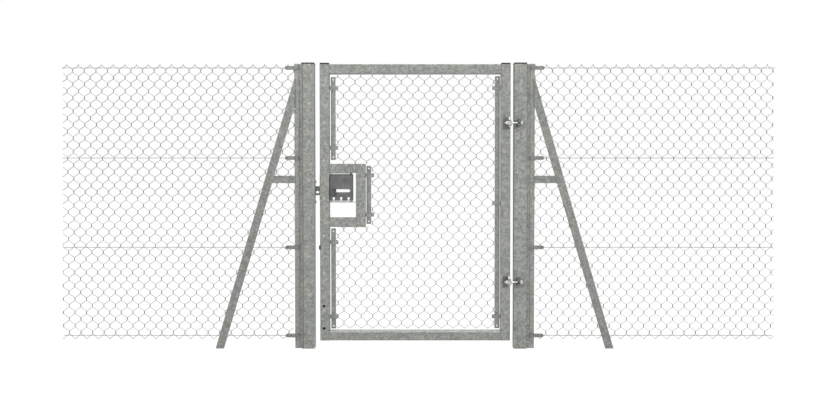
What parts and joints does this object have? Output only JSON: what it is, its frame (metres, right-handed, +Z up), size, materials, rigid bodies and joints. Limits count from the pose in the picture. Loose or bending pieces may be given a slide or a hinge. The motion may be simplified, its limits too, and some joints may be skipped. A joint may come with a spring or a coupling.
{
  "type": "chain link gate",
  "caption": "Chain link pedestrian gate with a lockable hinged leaf, a slide bolt, box section posts and a strutted fence panel on each side.",
  "frame": {"origin": "centre of the hinge post's foot", "axes": "+X to the right along the fence, +Y away from the viewer, +Z up"},
  "size_m": [4.479, 0.135, 1.8],
  "materials": {
    "galvanised_steel": "hot dip galvanised, mottled",
    "fabric_wire": "galvanised wire",
    "bright_zinc": "bright zinc plate",
    "lock_black": "dark powder coat",
    "cap_plastic": "black moulded"
  },
  "bodies": {
    "root": {"bolt_keep": "galvanised_steel", "hinge_post": "galvanised_steel", "hinge_post_cap": "cap_plastic", "latch_post": "galvanised_steel", "latch_post_cap": "cap_plastic", "left_angle_post": "galvanised_steel", "left_fabric_lower": "fabric_wire", "left_fabric_middle": "fabric_wire", "left_fabric_upper": "fabric_wire", "left_fence_bar": "galvanised_steel", "left_line_wires": "fabric_wire", "left_strut": "galvanised_steel", "left_strut_tie": "galvanised_steel", "left_wire_lugs": "galvanised_steel", "lower_eye_bolt": "bright_zinc", "lower_hinge_lug": "galvanised_steel", "right_angle_post": "galvanised_steel", "right_fabric_lower": "fabric_wire", "right_fabric_middle": "fabric_wire", "right_fabric_upper": "fabric_wire", "right_fence_bar": "galvanised_steel", "right_line_wires": "fabric_wire", "right_strut": "galvanised_steel", "right_strut_tie": "galvanised_steel", "right_wire_lugs": "galvanised_steel", "upper_eye_bolt": "bright_zinc", "upper_hinge_lug": "galvanised_steel"},
    "leaf": {"latch_stile": "galvanised_steel", "hinge_stile": "galvanised_steel", "stile_caps": "cap_plastic", "top_rail": "galvanised_steel", "bottom_rail": "galvanised_steel", "lock_frame_top": "galvanised_steel", "lock_frame_bottom": "galvanised_steel", "lock_frame_side": "galvanised_steel", "lock_shelf": "galvanised_steel", "lock_case": "lock_black", "lock_strips": "galvanised_steel", "lock_faceplate": "galvanised_steel", "leaf_stop": "galvanised_steel", "leaf_bars": "galvanised_steel", "leaf_lugs": "galvanised_steel", "leaf_fabric_above": "fabric_wire", "leaf_fabric_beside": "fabric_wire", "leaf_fabric_below": "fabric_wire", "upper_hinge_bracket": "galvanised_steel", "lower_hinge_bracket": "galvanised_steel", "upper_hinge_pin": "bright_zinc", "lower_hinge_pin": "bright_zinc"},
    "bolt": {"bolt_tongue": "lock_black", "bolt_handle": "lock_black"}
  },
  "joints": [
    {"name": "leaf_hinge", "type": "hinge", "parent": "root", "child": "leaf", "pos_m": [-0.072, -0.072, 0.922], "axis": [0, 0, 1], "range_deg": [0, 180]},
    {"name": "bolt_slide", "type": "slide", "parent": "leaf", "child": "bolt", "axis": [1, 0, 0], "range_m": [0, 0.065]}
  ]
}
